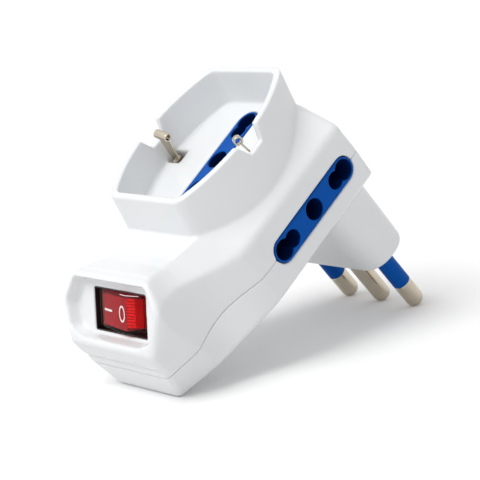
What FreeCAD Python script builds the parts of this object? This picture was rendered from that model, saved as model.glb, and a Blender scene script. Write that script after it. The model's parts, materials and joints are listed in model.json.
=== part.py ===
import FreeCAD
import Part
import math
import os

# Multi socket adapter: a three pin plug with a switch, one earthed well and two side sockets.
# Modelling frame: x along the row of pins, y out of the wall side (pins point to +y),
# z along the casing. The origin is on the plug's end face, on the middle pin's axis.
# At the end every piece is laid down on its pin tips and on the low edge of its switch head.

V = FreeCAD.Vector

# Plug
PIN_PITCH = 13.0
PIN_LENGTH = 19.0
PIN_R = 2.45
NECK_R = 1.9
ROOT_R = 2.2
SLEEVE_LENGTH = 10.6
TIP_STEPS = 2
PIN_HEAD_HALF = 2.9
PIN_HEAD_THICK = 1.2
TAIL_LENGTH = 14.0
TAIL_HALF_W = 2.0
TAIL_HALF_H = 1.0

# Boss that carries the pins
BOSS_LENGTH = 23.5
BOSS_END_HALF = (18.5, 7.1)
BOSS_ROOT_HALF = (20.0, 8.3)
BOSS_END_RISE = 0.9
BOSS_ROOT_DROP = 0.6
BOSS_CORNER_R = 6.2
BOSS_EDGE_R = 1.6
BOSS_END_WALL = 4.0
BOSS_SIDE_WALL = 2.5

# Casing
WALL = 2.0
PARTING_DEPTH = 8.7
BLOCK_HALF_W = 24.2
REAR_DRAFT = 0.8
SHOULDER_DEPTH = 18.0
FRONT_DEPTH = 25.5
FRONT_HALF_W = 15.2
BLOCK_TOP = 20.0
BLOCK_LOW = 19.4
WAIST_HALF_W = 18.4
WAIST_DRAW_IN = 3.1
HEAD_HALF_W = 20.0
HEAD_FLARE = 1.0
CHIN_HALF_W = 16.8
TOP_EDGE_R = 2.0
LOW_EDGE_R = 2.0
REAR_CHAMFER = 1.0
SIDE_CORNER_R = 3.0
FRONT_CORNER_R = 2.5
EDGE_STEPS = 3

# Sockets
WELL_Z = -11.6
HOLE_R = 2.7
SMALL_HOLE_R = 2.3
WIDE_PITCH = 13.0
NARROW_PITCH = 9.5
INSERT_HALF_W = 3.47
INSERT_HALF_L = 16.4
WELL_INSERT_DEPTH = 8.0
SIDE_INSERT_DEPTH = 9.2
TAB_LENGTH = 1.6
TAB_HALF_W = 2.4
TAB_THICK = 1.2

# Collar round the well
COLLAR_HEIGHT = 9.4
COLLAR_HALF_W = 21.5
COLLAR_TOP = 22.7
COLLAR_LOW = 22.4
COLLAR_SIDE_R = 36.6
COLLAR_WALL = 1.9
COLLAR_LEAN = 0.255
COLLAR_CORNER_R = 4.2
WELL_DEPTH = 9.8
WELL_LEAN = 0.16
WELL_CORNER_R = 2.8
NOTCH_MOUTH = 4.1
NOTCH_BOTTOM = 2.3
NOTCH_DEPTH = 4.3

# Earth clips
CLIP_WIDTH = 3.6
CLIP_THICK = 0.7
CLIP_LEG_X = 18.7
CLIP_TOP = 9.3
CLIP_TIP_X = 15.9
CLIP_SLOT_X = 14.4
CLIP_SLOT_GAP = 0.2
BOW_HALF_W = 4.0
STRAP_THICK = 0.8

# Contact bars
LEAF_GAP = 2.8
LEAF_THICK = 0.6
LEAF_END_GAP = 0.6
LEAF_INNER = 7.0
LEAF_DEPTH = 8.0
BAR_THICK = 0.8
BAR_LEVEL = 16.2
LEAF_LOW = 6.6
EARTH_LEVEL = 3.3
STRIP_THICK = 0.6
STRIP_WIDTH = 4.0
STRIP_LANE = 1.3
RETURN_LANE_X = 6.0
STRIP_REACH = 15.0

# Switch
SWITCH_Y = -43.6
SWITCH_Z = -57.25
FACE_SLOPE = 47.6
RIM_RISE = 4.5
RECESS_FLOOR = 0.8
RIM_ROUND_R = 2.4
WINDOW_HALF_U = 11.2
WINDOW_HALF_T = 5.42
SWITCH_GAP = 0.05
CASE_GAP = 0.3
LIP_THICK = 0.25
LIP_TOP = 0.5
HOUSING_WALL = 1.0
HOUSING_DEPTH = 15.0
ROCKER_HALF_T = 4.85
ROCKER_R = 10.75
ROCKER_EDGE = -0.4
RIDGE_U = 4.1
RIDGE_W = 1.9
ROCKER_SKIRT = 4.5
ROCKER_WALL = 1.1
PIVOT_W = -3.5
PIVOT_R = 1.1
PIVOT_CLEARANCE = 0.05
LEVER_W = -9.6
LEVER_HALF_L = 6.0
LEVER_WIDTH = 3.0
LEVER_PIN_R = 0.6
LAMP_R = 1.4
RESISTOR_R = 1.1

# Planes that several pieces share
REAR_Y = -BOSS_LENGTH
PARTING_Y = REAR_Y - PARTING_DEPTH
SHOULDER_Y = REAR_Y - SHOULDER_DEPTH
FRONT_Y = REAR_Y - FRONT_DEPTH
RIM_Y = FRONT_Y - COLLAR_HEIGHT
FLOOR_Y = RIM_Y + WELL_DEPTH
TOP_Z = WELL_Z + BLOCK_TOP
BLOCK_LOW_Z = WELL_Z - BLOCK_LOW
INSERT_BACK_Y = FLOOR_Y + WELL_INSERT_DEPTH
STRAP_BACK_Y = INSERT_BACK_Y + STRAP_THICK
INNER_REAR_Y = REAR_Y - WALL
INNER_FRONT_Y = FLOOR_Y + WALL
STRIP_Y = INNER_REAR_Y - STRIP_LANE
LEAF_REAR_Y = PARTING_Y + LEAF_GAP + LEAF_THICK
LEAF_REACH = BLOCK_HALF_W - SIDE_INSERT_DEPTH - LEAF_END_GAP
HEAD_DROP = SWITCH_Z + 57.25
UNDERSIDE_Z = SWITCH_Z - 9.05


def mirrored(shape):
    """The other side's copy of a piece."""
    return shape.mirror(V(0, 0, 0), V(1, 0, 0))


def box(x0, x1, y0, y1, z0, z1):
    """A block between two corners."""
    return Part.makeBox(x1 - x0, y1 - y0, z1 - z0, V(x0, y0, z0))


def plate(points, way):
    """A flat outline pushed along a vector."""
    return Part.Face(Part.makePolygon(points + points[:1])).extrude(way)


def rod(start, way, radius):
    """A round rod from a point along a vector."""
    return Part.makeCylinder(radius, way.Length, start, way)


def corner_arc(before, corner, after, radius):
    """Start, middle and end of the arc that rounds a corner."""
    u = (before - corner).normalize()
    v = (after - corner).normalize()
    half = u.getAngle(v) / 2
    middle = (u + v).normalize() * (radius / math.sin(half) - radius)
    run = radius / math.tan(half)
    return corner + u * run, corner + middle, corner + v * run


def chamfer_ends(before, corner, after, size):
    """The two ends of the flat that cuts a corner."""
    return corner + (before - corner).normalize() * size, corner + (after - corner).normalize() * size


def rounded_wire(points, radii):
    """A closed outline with its own radius at each corner, sharp where it is 0 and cut flat
    where it is negative."""
    ends = []
    arcs = {}
    count = len(points)
    for i, radius in enumerate(radii):
        before, corner, after = points[i - 1], points[i], points[(i + 1) % count]
        if radius == 0:
            ends.append((corner, corner))
        elif radius < 0:
            a, c = chamfer_ends(before, corner, after, -radius)
            ends.append((a, c))
            arcs[i] = Part.LineSegment(a, c).toShape()
        else:
            a, b, c = corner_arc(before, corner, after, radius)
            ends.append((a, c))
            arcs[i] = Part.Arc(a, b, c).toShape()
    chain = []
    for i in range(count):
        if i in arcs:
            chain.append(arcs[i])
        chain.append(Part.LineSegment(ends[i][1], ends[(i + 1) % count][0]).toShape())
    return Part.Wire(chain)


def both_sides(half):
    """The points of a half outline with their mirror images, in order."""
    return half + [V(-p.x, p.y, p.z) for p in reversed(half)]


def switch_place():
    """Where the switch's own frame lies: u across, t up its face, w out of it."""
    turn = FreeCAD.Rotation(V(1, 0, 0), 90.0 + FACE_SLOPE)
    return FreeCAD.Placement(V(0, SWITCH_Y, SWITCH_Z), turn)


def from_switch(shape):
    """Moves a shape from the switch's frame into the casing's."""
    placed = shape.copy()
    placed.Placement = switch_place().multiply(placed.Placement)
    return placed


def edge_steps(radius):
    """Steps (inset, depth) of an edge rounded by short chamfers, from the face inwards."""
    steps = []
    for k in range(EDGE_STEPS + 1):
        turn = math.pi / 2 * k / EDGE_STEPS
        steps.append((radius * (1 - math.sin(turn)), radius * (1 - math.cos(turn))))
    return steps


def station(z, slope, rear_x, mid_x, side, front, radii, inset=0.0, tuck=0.0):
    """One level section of the casing, its front tipped down by slope and its sides drawn in
    by inset; tuck draws the back in."""
    half = [
        V(rear_x - inset, REAR_Y - tuck, 0),
        V(mid_x - inset, PARTING_Y, 0),
        V(side[0] - inset, side[1] + 0.4 * inset, 0),
        V(front[0] - 0.6 * inset, front[1] + inset, 0),
    ]
    for p in half:
        p.z = z + slope * (p.y - REAR_Y)
    side_r, front_r = [r - min(0.6 * inset, 0.7 * r) for r in radii]
    cut = REAR_CHAMFER - min(0.6 * inset, 0.7 * REAR_CHAMFER)
    corners = [-cut, 0, side_r, front_r]
    return rounded_wire(both_sides(half), corners + corners[::-1])


def top_stations():
    """Level sections of the block's rounded top edge."""
    full = (SIDE_CORNER_R, FRONT_CORNER_R)
    b = BLOCK_HALF_W
    return [
        station(TOP_Z - depth, 0, b - REAR_DRAFT, b, (b, SHOULDER_Y), (FRONT_HALF_W, FRONT_Y),
                full, inset)
        for inset, depth in edge_steps(TOP_EDGE_R)
    ]


def waist_stations():
    """Level sections from the block's foot through the waist to the head's ridge."""
    full = (SIDE_CORNER_R, FRONT_CORNER_R)
    soft = (2.2, 2.0)
    tight = (1.8, 1.5)
    b, w, h = BLOCK_HALF_W, WAIST_HALF_W, HEAD_HALF_W
    r = b - REAR_DRAFT
    s, f, q = SHOULDER_Y, FRONT_Y, FRONT_HALF_W
    n = q - WAIST_DRAW_IN
    z = BLOCK_LOW_Z
    g = HEAD_DROP
    return [
        station(z, 0, r, b, (b, s), (q, f), full),
        station(z - 3.2, 0, r - 0.1, b - 0.4, (b - 0.6, s + 0.1), (q - 0.2, f), full),
        station(z - 6.0, 0, r - 0.5, b - 1.9, (b - 2.3, s - 0.1), (q - 0.9, f), full),
        station(z - 9.5, 0, r - 1.4, w + 1.9, (w + 1.1, s - 0.8), (q - 2.3, f), full),
        station(-43.6 + g, 0, w + 2.9, w + 0.6, (w - 0.4, s - 2.0), (n, f - 0.1), soft),
        station(-46.4 + g, 0.01, w + 2.3, w, (w - 1.0, s - 3.4), (n + 0.1, f - 0.8), soft),
        station(-49.2 + g, 0.04, w + 1.6, w + 0.1, (w - 0.8, s - 4.9), (n + 1.8, f - 2.6), soft),
        station(-52.0 + g, 0.10, w + 0.8, w + 0.7, (w + 0.5, s - 6.2), (n + 4.1, f - 5.1), tight),
        station(-54.6 + g, 0.19, h - 1.7, h, (h + HEAD_FLARE, s - 7.0), (h - 0.7, f - 8.6), tight),
        station(-56.4 + g, 0.16, h - 2.4, h - 0.3, (h + 0.9, s - 6.8), (h - 0.1, f - 9.4), tight),
    ]


def chin_stations():
    """Level sections of the head's foot with its rounded low edge."""
    c = CHIN_HALF_W
    return [
        station(UNDERSIDE_Z + depth, 0, c - 3.2, c + 0.4, (c + 2.4, SHOULDER_Y - 2.0),
                (18.4, FRONT_Y - 11.0), (1.8, 1.5), inset, inset)
        for inset, depth in reversed(edge_steps(LOW_EDGE_R))
    ]


def casing_body():
    """The closed outer form: block, waist and head, before its openings."""
    levels = top_stations() + waist_stations() + chin_stations()
    return Part.makeLoft(levels, True, True).cut(face_cutter())


def face_outline(w, grow):
    """The outline of the head's sloping face at a level w, grown by some amount."""
    half = [V(16.4 + grow, 9.7 + grow, w), V(21.2 + grow, 2.2, w), V(17.6 + grow, -12.0, w)]
    corners = [2.6, 3.0, 1.0]
    return rounded_wire(both_sides(half), corners + corners[::-1])


def face_cutter():
    """What lies in front of the head's face, with the face's edge rounded."""
    low = RIM_RISE - RIM_ROUND_R
    levels = [face_outline(RIM_RISE - depth, -inset) for inset, depth in edge_steps(RIM_ROUND_R)]
    core = Part.makeLoft(levels + [face_outline(low - 2.0, 2.0)], True, True)
    slab = box(-40, 40, -30, 30, low - 2.0, 30)
    return from_switch(slab.cut(core))


def recess():
    """The dished pocket round the switch and its window through the wall."""
    def outline(w, inset):
        half = [V(15.4 - inset, 8.2 - inset, w), V(19.1 - inset, 1.7, w),
                V(17.2 - inset, -5.3 + inset / 2, w), V(11.2, -7.0 + inset, w)]
        corners = [2.0, 2.6, 2.6, 2.6]
        return rounded_wire(both_sides(half), corners + corners[::-1])
    pocket = Part.makeLoft([outline(RECESS_FLOOR, 0.9), outline(RIM_RISE + 0.1, 0.0)], True, True)
    window = box(-WINDOW_HALF_U, WINDOW_HALF_U, -WINDOW_HALF_T, WINDOW_HALF_T, -6.0, RIM_RISE)
    return from_switch(pocket.fuse(window))


def barrel_wire(half_w, top, low, side_r, corner_r):
    """Flat top and foot with bulging sides and rounded corners, in the x z plane."""
    cx = half_w - side_r

    def corner(rise, sign):
        reach = side_r - corner_r
        fx = cx + math.sqrt(reach ** 2 - (rise - corner_r) ** 2)
        fz = rise - corner_r
        turn = math.atan2(fz, fx - cx)
        half = (turn + math.pi / 2) / 2
        on_side = V(cx + side_r * math.cos(turn), 0, sign * side_r * math.sin(turn))
        middle = V(fx + corner_r * math.cos(half), 0, sign * (fz + corner_r * math.sin(half)))
        return V(fx, 0, sign * rise), middle, on_side
    a0, a1, a2 = corner(top, 1)
    b0, b1, b2 = corner(low, -1)
    side = V(half_w, 0, 0)

    def flip(p):
        return V(-p.x, p.y, p.z)
    return Part.Wire([
        Part.Arc(a0, a1, a2).toShape(),
        Part.Arc(a2, side, b2).toShape(),
        Part.Arc(b2, b1, b0).toShape(),
        Part.LineSegment(b0, flip(b0)).toShape(),
        Part.Arc(flip(b0), flip(b1), flip(b2)).toShape(),
        Part.Arc(flip(b2), flip(side), flip(a2)).toShape(),
        Part.Arc(flip(a2), flip(a1), flip(a0)).toShape(),
        Part.LineSegment(flip(a0), a0).toShape(),
    ])


def barrel(y0, y1, lean, half_w, top, low, side_r, corner_r):
    """A rounded barrel between two planes across y, set back in z by lean for each mm of y."""
    slope = math.atan(lean)
    squeeze = math.cos(slope)
    spare = BLOCK_HALF_W
    length = (y1 - y0) / squeeze + 2 * spare
    wire = barrel_wire(half_w, top * squeeze, low * squeeze, side_r, corner_r)
    column = Part.Face(wire).extrude(V(0, length, 0))
    column.translate(V(0, -spare, 0))
    column.rotate(V(0, 0, 0), V(1, 0, 0), -math.degrees(slope))
    column.translate(V(0, y0, WELL_Z))
    return column.common(box(-2 * half_w, 2 * half_w, y0, y1, WELL_Z - 2 * low, WELL_Z + 2 * top))


def collar_outer():
    """The collar's outside, from its rim down into the block."""
    return barrel(RIM_Y, FRONT_Y + 6.0, COLLAR_LEAN, COLLAR_HALF_W, COLLAR_TOP, COLLAR_LOW,
                  COLLAR_SIDE_R, COLLAR_CORNER_R)


def well_space():
    """The space inside the collar, down to the well's floor."""
    w = COLLAR_WALL
    return barrel(RIM_Y, FLOOR_Y, WELL_LEAN, COLLAR_HALF_W - w, COLLAR_TOP - w, COLLAR_LOW - w,
                  COLLAR_SIDE_R - w, WELL_CORNER_R)


def notches():
    """The two side notches in the collar's rim that bare the clips."""
    m, b = NOTCH_MOUTH, NOTCH_BOTTOM
    y0, y1 = RIM_Y - 0.1, RIM_Y + NOTCH_DEPTH
    points = [V(-40, y0, WELL_Z - m), V(-40, y1, WELL_Z - b), V(-40, y1, WELL_Z + b),
              V(-40, y0, WELL_Z + m)]
    return plate(points, V(80, 0, 0))


def clip_slots():
    """Slots in the well's floor for the earth clips, narrower below."""
    half = CLIP_WIDTH / 2 + CLIP_SLOT_GAP
    x1 = COLLAR_HALF_W - COLLAR_WALL
    wide = box(CLIP_SLOT_X, x1, FLOOR_Y - 0.2, FLOOR_Y + WALL, WELL_Z - half, WELL_Z + half)
    deep = box(CLIP_LEG_X - 1.6, CLIP_LEG_X + 0.8, FLOOR_Y, INSERT_BACK_Y + 1.0,
               WELL_Z - half, WELL_Z + half)
    one = wide.fuse(deep)
    return one.fuse(mirrored(one))


def boss_wire(y, half, rise, inset=0.0):
    """A rounded oblong section of the boss."""
    a, b = half[0] - inset, half[1] - inset
    points = [V(a, y, rise + b), V(a, y, rise - b), V(-a, y, rise - b), V(-a, y, rise + b)]
    return rounded_wire(points, [BOSS_CORNER_R - inset] * 4)


def boss():
    """The tapered boss between the casing's back and the pins."""
    wires = [boss_wire(REAR_Y - 1.0, BOSS_ROOT_HALF, -BOSS_ROOT_DROP)]
    for inset, depth in reversed(edge_steps(BOSS_EDGE_R)):
        wires.append(boss_wire(-depth, BOSS_END_HALF, BOSS_END_RISE, inset))
    return Part.makeLoft(wires, True, True)


def inner_space():
    """The hollow inside the casing."""
    w = BLOCK_HALF_W - WALL
    plan = [V(w, INNER_REAR_Y, 0), V(w, SHOULDER_Y + 0.7, 0),
            V(FRONT_HALF_W - 1.0, INNER_FRONT_Y, 0)]
    room = plate(both_sides(plan), V(0, 0, BLOCK_TOP + BLOCK_LOW - WALL + 1.0))
    room.translate(V(0, 0, BLOCK_LOW_Z - 1.0))
    n = WAIST_HALF_W - WALL - 0.2
    low = UNDERSIDE_Z + WALL
    shape = [V(n, 0, BLOCK_LOW_Z), V(n, 0, low + 10.3), V(CHIN_HALF_W - 5.5, 0, low)]
    neck = plate(both_sides(shape), V(0, SHOULDER_Y + 1.5 - INNER_REAR_Y, 0))
    neck.translate(V(0, INNER_REAR_Y, 0))
    below_face = box(-40, 40, -40, 60, -80, RECESS_FLOOR - WALL)
    head = neck.common(from_switch(below_face))
    u = WINDOW_HALF_U + HOUSING_WALL + CASE_GAP
    t = WINDOW_HALF_T + HOUSING_WALL + CASE_GAP
    top = RECESS_FLOOR - WALL
    pocket = from_switch(box(-u, u, -t, t, top - HOUSING_DEPTH - CASE_GAP, top))
    x = BOSS_END_HALF[0] - BOSS_SIDE_WALL
    z0 = BOSS_END_RISE - BOSS_END_HALF[1] + WALL
    z1 = BOSS_END_RISE + BOSS_END_HALF[1] - WALL
    channel = box(-x, x, INNER_REAR_Y - 1.0, -BOSS_END_WALL, z0, z1)
    return room.fuse([head, pocket, channel])


def stadium(half_w, half_l):
    """An upright stadium face in the x z plane round the origin."""
    straight = half_l - half_w
    a, b = V(half_w, 0, straight), V(half_w, 0, -straight)
    c, d = V(-half_w, 0, -straight), V(-half_w, 0, straight)
    return Part.Face(Part.Wire([
        Part.LineSegment(a, b).toShape(),
        Part.Arc(b, V(0, 0, -half_l), c).toShape(),
        Part.LineSegment(c, d).toShape(),
        Part.Arc(d, V(0, 0, half_l), a).toShape(),
    ]))


def insert_body(depth):
    """A socket insert without holes or tabs: face at y 0, body towards +y."""
    return stadium(INSERT_HALF_W, INSERT_HALF_L).extrude(V(0, depth, 0))


def socket_insert(depth):
    """An insert with its earth hole, two double line holes and a tab on each long side."""
    reach = INSERT_HALF_W + TAB_LENGTH
    tabs = box(-reach, reach, WALL, WALL + TAB_THICK, -TAB_HALF_W, TAB_HALF_W)
    insert = insert_body(depth).fuse(tabs)
    holes = [rod(V(0, -1, 0), V(0, depth + 2, 0), HOLE_R)]
    for side in (-1, 1):
        holes.append(rod(V(0, -1, side * WIDE_PITCH), V(0, depth + 2, 0), HOLE_R))
        holes.append(rod(V(0, -1, side * NARROW_PITCH), V(0, depth + 2, 0), SMALL_HOLE_R))
    return insert.cut(holes)


def at_well(shape):
    """Moves an insert into the well's floor."""
    placed = shape.copy()
    placed.translate(V(0, FLOOR_Y, WELL_Z))
    return placed


def at_side(shape):
    """Turns an insert to face +x and moves it into the right side."""
    placed = shape.copy()
    placed.rotate(V(0, 0, 0), V(0, 0, 1), 90)
    placed.translate(V(BLOCK_HALF_W, PARTING_Y, WELL_Z))
    return placed


def insert_seats():
    """The openings in the casing for the three inserts."""
    side = at_side(insert_body(WALL + 1.0))
    return at_well(insert_body(WALL + 1.0)).fuse([side, mirrored(side)])


def pin_holes():
    """Holes in the boss's end wall for the necks of the outer pins and the middle pin's root."""
    wall = BOSS_END_WALL + 2.0
    return [rod(V(x, 1.0, 0), V(0, -wall, 0), ROOT_R if x == 0 else NECK_R)
            for x in (-PIN_PITCH, 0, PIN_PITCH)]


def covers():
    """The front and back covers of the casing."""
    whole = casing_body().fuse([collar_outer(), boss()])
    whole = whole.cut([inner_space(), well_space(), notches(), clip_slots(), recess()])
    whole = whole.cut([insert_seats()] + pin_holes())
    back_half = box(-60, 60, PARTING_Y, 60, -100, 60)
    front_half = box(-60, 60, -100, PARTING_Y, -100, 60)
    return whole.common(front_half), whole.common(back_half)


def tip_profile():
    """Points (y, radius) of a pin's domed tip, from its shank to its end."""
    points = []
    for k in range(TIP_STEPS + 1):
        turn = math.pi / 2 * k / TIP_STEPS
        points.append((PIN_LENGTH - PIN_R + PIN_R * math.sin(turn), PIN_R * math.cos(turn)))
    return points


def pin(sleeved):
    """A plug pin on the y axis with a domed tip, a thinner root, a head inside and a flat tail."""
    outline = [(-BOSS_END_WALL, ROOT_R), (0, ROOT_R), (0, PIN_R)]
    if sleeved:
        outline = [(-BOSS_END_WALL, NECK_R), (SLEEVE_LENGTH, NECK_R), (SLEEVE_LENGTH, PIN_R)]
    outline += tip_profile()
    points = [V(0, -BOSS_END_WALL, 0)] + [V(r, y, 0) for y, r in outline]
    face = Part.Face(Part.makePolygon(points + points[:1]))
    shank = face.revolve(V(0, 0, 0), V(0, 1, 0), 360)
    h = PIN_HEAD_HALF
    head = box(-h, h, -BOSS_END_WALL - PIN_HEAD_THICK, -BOSS_END_WALL, -h, h)
    tail = box(-TAIL_HALF_W, TAIL_HALF_W, -TAIL_LENGTH, -BOSS_END_WALL, -TAIL_HALF_H, TAIL_HALF_H)
    return shank.fuse([head, tail]).removeSplitter()


def sleeve():
    """The insulating sleeve round a pin's neck, from the boss's end face."""
    way = V(0, SLEEVE_LENGTH, 0)
    return rod(V(0, 0, 0), way, PIN_R).cut(rod(V(0, 0, 0), way, NECK_R))


def moved(shape, x):
    """A copy moved sideways."""
    copy = shape.copy()
    copy.translate(V(x, 0, 0))
    return copy


def ribbon(points, thick, low, high):
    """A bent strip: a line of points in x y, thickened and raised from low to high in z."""
    left, right = [], []
    for i, p in enumerate(points):
        a = (p - points[i - 1]).normalize() if i else (points[1] - p).normalize()
        b = (points[i + 1] - p).normalize() if i + 1 < len(points) else a
        mid = (a + b).normalize()
        reach = thick / 2 / mid.dot(a)
        side = V(-mid.y, mid.x, 0) * reach
        left.append(V(p.x + side.x, p.y + side.y, low))
        right.append(V(p.x - side.x, p.y - side.y, low))
    return plate(left + right[::-1], V(0, 0, high - low))


def clip():
    """One earth clip: a leg up the well's wall and a tip curled inwards."""
    top = RIM_Y + WELL_DEPTH - CLIP_TOP
    points = [
        V(CLIP_LEG_X - 0.6, INSERT_BACK_Y, 0),
        V(CLIP_LEG_X - 0.2, FLOOR_Y, 0),
        V(CLIP_LEG_X, top + 2.6, 0),
        V(CLIP_LEG_X - 0.7, top + 0.8, 0),
        V(CLIP_LEG_X - 1.8, top + 0.3, 0),
        V(CLIP_TIP_X, top + 1.4, 0),
        V(CLIP_TIP_X - 0.1, top + 3.0, 0),
    ]
    return ribbon(points, CLIP_THICK, WELL_Z - CLIP_WIDTH / 2, WELL_Z + CLIP_WIDTH / 2)


def earth_bow():
    """The strap behind the well insert with a clip at each end."""
    reach = CLIP_LEG_X - 0.6 + CLIP_THICK / 2
    strap = box(-reach, reach, INSERT_BACK_Y, STRAP_BACK_Y, WELL_Z - BOW_HALF_W / 2,
                WELL_Z + BOW_HALF_W / 2)
    middle = box(-LEAF_INNER, LEAF_INNER, INSERT_BACK_Y, STRAP_BACK_Y, WELL_Z - BOW_HALF_W,
                 WELL_Z + BOW_HALF_W)
    hole = rod(V(0, INSERT_BACK_Y - 1, WELL_Z), V(0, 4, 0), HOLE_R + 0.3)
    one = clip()
    return strap.fuse([middle, one, mirrored(one)]).cut(hole).removeSplitter()


def leaves(low, high):
    """Spring leaves either side of the pins of all three sockets, between two levels."""
    pieces = []
    for side in (-1, 1):
        inner = side * LEAF_GAP
        outer = side * (LEAF_GAP + LEAF_THICK)
        x0, x1 = min(inner, outer), max(inner, outer)
        pieces.append(box(x0, x1, STRAP_BACK_Y, STRAP_BACK_Y + LEAF_DEPTH, low, high))
        for way in (-1, 1):
            a, b = sorted((way * LEAF_INNER, way * LEAF_REACH))
            pieces.append(box(a, b, PARTING_Y + x0, PARTING_Y + x1, low, high))
    return pieces


def contact_bar(level, far, tabs):
    """A bar across the casing whose leaves grip one pole of each socket."""
    z0, z1 = sorted((WELL_Z + level, WELL_Z + level + math.copysign(BAR_THICK, level)))
    bar = box(-LEAF_REACH, LEAF_REACH, STRAP_BACK_Y, LEAF_REAR_Y, z0, z1)
    low, high = sorted((WELL_Z + level, WELL_Z + far))
    parts = leaves(low, high)
    for x in tabs:
        side = math.copysign(1.0, x)
        inner = min(abs(x) - STRIP_WIDTH / 2, LEAF_REACH - BAR_THICK)
        a, b = sorted((side * inner, side * (abs(x) + STRIP_WIDTH / 2)))
        parts.append(box(a, b, LEAF_REAR_Y, STRIP_Y - STRIP_THICK, z0, z1))
    return bar.fuse(parts).removeSplitter()


def upright(x, low, high):
    """A flat strip standing in the lane before the back wall."""
    half = STRIP_WIDTH / 2
    return box(x - half, x + half, STRIP_Y - STRIP_THICK, STRIP_Y, low, high)


def pin_strip(x, low):
    """A strip from a pin's tail along the boss and down to a level."""
    half = STRIP_WIDTH / 2
    z1 = -TAIL_HALF_H
    z0 = z1 - STRIP_THICK
    run = box(x - half, x + half, STRIP_Y, -BOSS_END_WALL - PIN_HEAD_THICK - 0.5, z0, z1)
    return run.fuse(upright(x, low, z1)).removeSplitter()


def housing():
    """The switch's own case: a cup behind the window with a lip that lines it."""
    u, t = WINDOW_HALF_U, WINDOW_HALF_T
    top = RECESS_FLOOR - WALL
    w = HOUSING_WALL
    cup = box(-u - w, u + w, -t - w, t + w, top - HOUSING_DEPTH, top)
    room = box(-u, u, -t, t, top - HOUSING_DEPTH + w, top)
    g = SWITCH_GAP
    ledge = box(-u - g, u + g, -t - g, t + g, top - 0.5, top)
    lip = box(-u + g, u - g, -t + g, t - g, top - 0.1, LIP_TOP)
    n = g + LIP_THICK
    mouth = box(-u + n, u - n, -t + n, t - n, top - 1.0, LIP_TOP + 1)
    body = cup.cut(room).fuse([ledge, lip]).cut(mouth)
    axle = rod(V(0, -t - w - 1, PIVOT_W), V(0, 2 * (t + w + 1), 0), PIVOT_R + PIVOT_CLEARANCE)
    pillar_x = LEVER_PIN_R + 1.0
    base = top - HOUSING_DEPTH + w
    pillars = []
    for side in (-1, 1):
        near = LEVER_WIDTH / 2 + 0.3
        a, b = sorted((side * near, side * (near + 1.2)))
        pillars.append(box(-pillar_x, pillar_x, a, b, base, LEVER_W + 1.2))
    pivot = rod(V(0, -5, LEVER_W), V(0, 10, 0), LEVER_PIN_R + PIVOT_CLEARANCE)
    body = body.fuse([p.cut(pivot) for p in pillars])
    slots = [box(x - 2.1, x + 2.1, -1.6, 1.6, base - w - 1, base + 1)
             for x in (-LEVER_HALF_L, LEVER_HALF_L)]
    return from_switch(body.cut([axle] + slots))


def rocker_section():
    """The rocker's outline across its axle: two facets, round ends and a skirt."""
    rise = ROCKER_EDGE - PIVOT_W
    end_u = math.sqrt(ROCKER_R ** 2 - rise ** 2)
    fall = ROCKER_SKIRT - abs(PIVOT_W)
    foot_u = math.sqrt(ROCKER_R ** 2 - fall ** 2)
    foot_w = PIVOT_W - fall
    left, ridge, right = V(-end_u, 0, ROCKER_EDGE), V(RIDGE_U, 0, RIDGE_W), V(end_u, 0, ROCKER_EDGE)
    return Part.Face(Part.Wire([
        Part.LineSegment(left, ridge).toShape(),
        Part.LineSegment(ridge, right).toShape(),
        Part.Arc(right, V(ROCKER_R, 0, PIVOT_W), V(foot_u, 0, foot_w)).toShape(),
        Part.LineSegment(V(foot_u, 0, foot_w), V(-foot_u, 0, foot_w)).toShape(),
        Part.Arc(V(-foot_u, 0, foot_w), V(-ROCKER_R, 0, PIVOT_W), left).toShape(),
    ]))


def rocker():
    """The rocker: a hollow lens with an axle and a stem that drives the lever."""
    t = ROCKER_HALF_T
    face = rocker_section()
    face.translate(V(0, -t, 0))
    solid = face.extrude(V(0, 2 * t, 0))
    w = ROCKER_WALL
    floor = PIVOT_W - ROCKER_SKIRT + abs(PIVOT_W) - 1.0
    cap = ROCKER_EDGE - w
    hollow = plate([
        V(-ROCKER_R + 2 * w, -t + w, floor), V(-ROCKER_R + 2 * w, -t + w, cap),
        V(RIDGE_U, -t + w, RIDGE_W - 1.6 * w), V(ROCKER_R - 2 * w, -t + w, cap),
        V(ROCKER_R - 2 * w, -t + w, floor)], V(0, 2 * (t - w), 0))
    solid = solid.cut(hollow)
    hub = box(-1.8, 1.8, -t + w, t - w, PIVOT_W - 1.8, RIDGE_W - 2 * w)
    stem = rod(V(0, 0, PIVOT_W), V(0, 0, LEVER_W + LEVER_PIN_R + 0.9 - PIVOT_W), 1.0)
    reach = WINDOW_HALF_T + HOUSING_WALL
    axle = rod(V(0, -reach, PIVOT_W), V(0, 2 * reach, 0), PIVOT_R)
    return from_switch(solid.fuse([hub, stem, axle]).removeSplitter())


def diffuser():
    """The ribbed inner lens under the rocker's short facet."""
    w = ROCKER_WALL
    cap = ROCKER_EDGE - w
    half = ROCKER_HALF_T - w - 0.1
    u0, u1 = RIDGE_U - 0.5, ROCKER_R - 2 * w - 0.1
    run = ROCKER_R - 2 * w - RIDGE_U
    rise = RIDGE_W - 1.6 * w - cap

    def under(u):
        return cap + rise * (ROCKER_R - 2 * w - u) / run
    points = [V(RIDGE_U, -half, under(RIDGE_U)), V(u1, -half, under(u1)), V(u1, -half, cap - 1.2),
              V(u0 + 0.5, -half, cap - 1.2)]
    body = plate(points, V(0, 2 * half, 0))
    pitch = (u1 - u0) / 8
    grooves = [box(u0 + pitch * (k + 0.3), u0 + pitch * (k + 0.6), -half - 1, half + 1,
                   cap - 1.3, cap - 0.8) for k in range(1, 8)]
    return from_switch(body.cut(grooves))


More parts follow.
